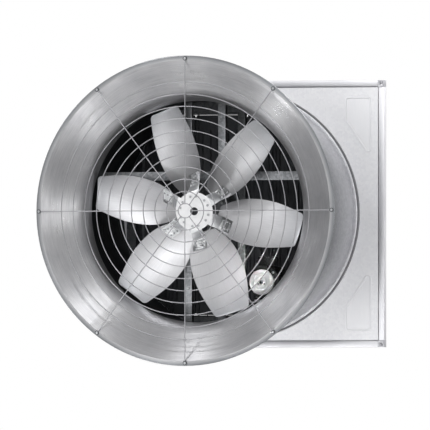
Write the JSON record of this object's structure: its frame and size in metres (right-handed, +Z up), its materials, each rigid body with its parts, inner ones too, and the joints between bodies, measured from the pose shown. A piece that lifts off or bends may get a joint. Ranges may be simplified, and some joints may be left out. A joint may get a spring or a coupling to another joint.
{
  "type": "poultry ventilation fan",
  "caption": "Belt-driven poultry house ventilation fan: flared outlet cone with a wire guard, bladed rotor, motor on a shelf, and a louvred intake shutter behind a wall panel.",
  "frame": {"origin": "centre of the wall bolt rectangle, on the wall panel's rear face", "axes": "+Y into the wall along the fan axis, +Z up, +X to the right seen from the outlet"},
  "size_m": [1.7648, 1.3388, 1.7648],
  "materials": {
    "panel_frame": "extruded rail, satin",
    "galvanised_sheet": "galvanised sheet, satin",
    "plated_fasteners": "zinc plated",
    "black_rubber": "matt black",
    "plated_wire": "zinc plated wire",
    "cast_housing": "painted casting",
    "motor_paint": "grey enamel",
    "turned_steel": "turned bar",
    "hub_casting": "machined casting",
    "pressed_arms": "bright pressed steel",
    "stainless_blade": "polished sheet",
    "cast_pulley": "machined casting",
    "black_plastic": "moulded",
    "shutter_sheet": "rolled sheet, satin"
  },
  "bodies": {
    "housing": {"rail_top": "panel_frame", "rail_bottom": "panel_frame", "rail_right": "panel_frame", "rail_left": "panel_frame", "corner_castings": "panel_frame", "front_plate": "galvanised_sheet", "collar_gasket": "black_rubber", "inlet_bell": "galvanised_sheet", "throat_ring": "galvanised_sheet", "outlet_cone": "galvanised_sheet", "cone_straps": "galvanised_sheet", "cone_rivets": "plated_fasteners", "front_guard": "plated_wire", "guard_screws": "plated_fasteners", "flange_bolts": "plated_fasteners", "bearing_post_left": "galvanised_sheet", "bearing_post_right": "galvanised_sheet", "motor_post": "galvanised_sheet", "upper_beam": "galvanised_sheet", "bearing_bridge_front": "galvanised_sheet", "bearing_bridge_rear": "galvanised_sheet", "bearing_housing_front": "cast_housing", "bearing_housing_rear": "cast_housing", "frame_bolts": "plated_fasteners", "drive_belt": "black_rubber", "motor_shell": "motor_paint", "motor_end_shields": "motor_paint", "motor_fan_cover": "motor_paint", "motor_terminal_box": "motor_paint", "motor_shelf": "galvanised_sheet", "motor_slide_rails": "galvanised_sheet", "motor_bolts": "plated_fasteners", "shutter_frame": "galvanised_sheet", "shutter_end_lips": "galvanised_sheet"},
    "fan_rotor": {"fan_shaft": "turned_steel", "hub_front_disc": "hub_casting", "hub_boss": "hub_casting", "hub_bolts": "plated_fasteners", "blade_arms": "pressed_arms", "blade_1": "stainless_blade", "blade_2": "stainless_blade", "blade_3": "stainless_blade", "blade_4": "stainless_blade", "blade_5": "stainless_blade", "blade_6": "stainless_blade", "blade_rivets": "plated_fasteners", "fan_pulley": "cast_pulley", "bearing_rings": "turned_steel"},
    "motor_rotor": {"motor_rotor_shaft": "turned_steel", "motor_pulley": "cast_pulley", "motor_cooling_fan": "black_plastic"},
    "slat_1": {"shutter_slat_1": "shutter_sheet"},
    "slat_2": {"shutter_slat_2": "shutter_sheet"},
    "slat_3": {"shutter_slat_3": "shutter_sheet"},
    "slat_4": {"shutter_slat_4": "shutter_sheet"},
    "slat_5": {"shutter_slat_5": "shutter_sheet"},
    "slat_6": {"shutter_slat_6": "shutter_sheet"},
    "slat_7": {"shutter_slat_7": "shutter_sheet"},
    "slat_8": {"shutter_slat_8": "shutter_sheet"},
    "tie_bar": {"shutter_tie_bar": "shutter_sheet"}
  },
  "joints": [
    {"name": "fan_spin", "type": "hinge", "parent": "housing", "child": "fan_rotor", "pos_m": [-0.06, 0, 0], "axis": [0, -1, 0], "continuous": true},
    {"name": "motor_spin", "type": "hinge", "parent": "housing", "child": "motor_rotor", "pos_m": [0.248, 0, -0.4], "axis": [0, -1, 0], "continuous": true},
    {"name": "slat_1_turn", "type": "hinge", "parent": "housing", "child": "slat_1", "pos_m": [-0.6595, 0.137, 0], "axis": [0, 0, -1], "range_deg": [0, 80]},
    {"name": "slat_2_turn", "type": "hinge", "parent": "housing", "child": "slat_2", "pos_m": [-0.5055, 0.137, 0], "axis": [0, 0, -1], "range_deg": [0, 80]},
    {"name": "slat_3_turn", "type": "hinge", "parent": "housing", "child": "slat_3", "pos_m": [-0.3515, 0.137, 0], "axis": [0, 0, -1], "range_deg": [0, 80]},
    {"name": "slat_4_turn", "type": "hinge", "parent": "housing", "child": "slat_4", "pos_m": [-0.1975, 0.137, 0], "axis": [0, 0, -1], "range_deg": [0, 80]},
    {"name": "slat_5_turn", "type": "hinge", "parent": "housing", "child": "slat_5", "pos_m": [-0.0435, 0.137, 0], "axis": [0, 0, -1], "range_deg": [0, 80]},
    {"name": "slat_6_turn", "type": "hinge", "parent": "housing", "child": "slat_6", "pos_m": [0.1105, 0.137, 0], "axis": [0, 0, -1], "range_deg": [0, 80]},
    {"name": "slat_7_turn", "type": "hinge", "parent": "housing", "child": "slat_7", "pos_m": [0.2645, 0.137, 0], "axis": [0, 0, -1], "range_deg": [0, 80]},
    {"name": "slat_8_turn", "type": "hinge", "parent": "housing", "child": "slat_8", "pos_m": [0.4185, 0.137, 0], "axis": [0, 0, -1], "range_deg": [0, 80]},
    {"name": "tie_bar_turn", "type": "hinge", "parent": "slat_1", "child": "tie_bar", "pos_m": [-0.6035, 0.123, 0], "axis": [0, 0, -1], "range_deg": [-80, 0]}
  ],
  "couplings": [
    {"joint": "motor_spin", "follows": "fan_spin", "ratio": 2.7404},
    {"joint": "slat_2_turn", "follows": "slat_1_turn", "ratio": 1},
    {"joint": "slat_3_turn", "follows": "slat_1_turn", "ratio": 1},
    {"joint": "slat_4_turn", "follows": "slat_1_turn", "ratio": 1},
    {"joint": "slat_5_turn", "follows": "slat_1_turn", "ratio": 1},
    {"joint": "slat_6_turn", "follows": "slat_1_turn", "ratio": 1},
    {"joint": "slat_7_turn", "follows": "slat_1_turn", "ratio": 1},
    {"joint": "slat_8_turn", "follows": "slat_1_turn", "ratio": 1},
    {"joint": "tie_bar_turn", "follows": "slat_1_turn", "ratio": -1}
  ]
}
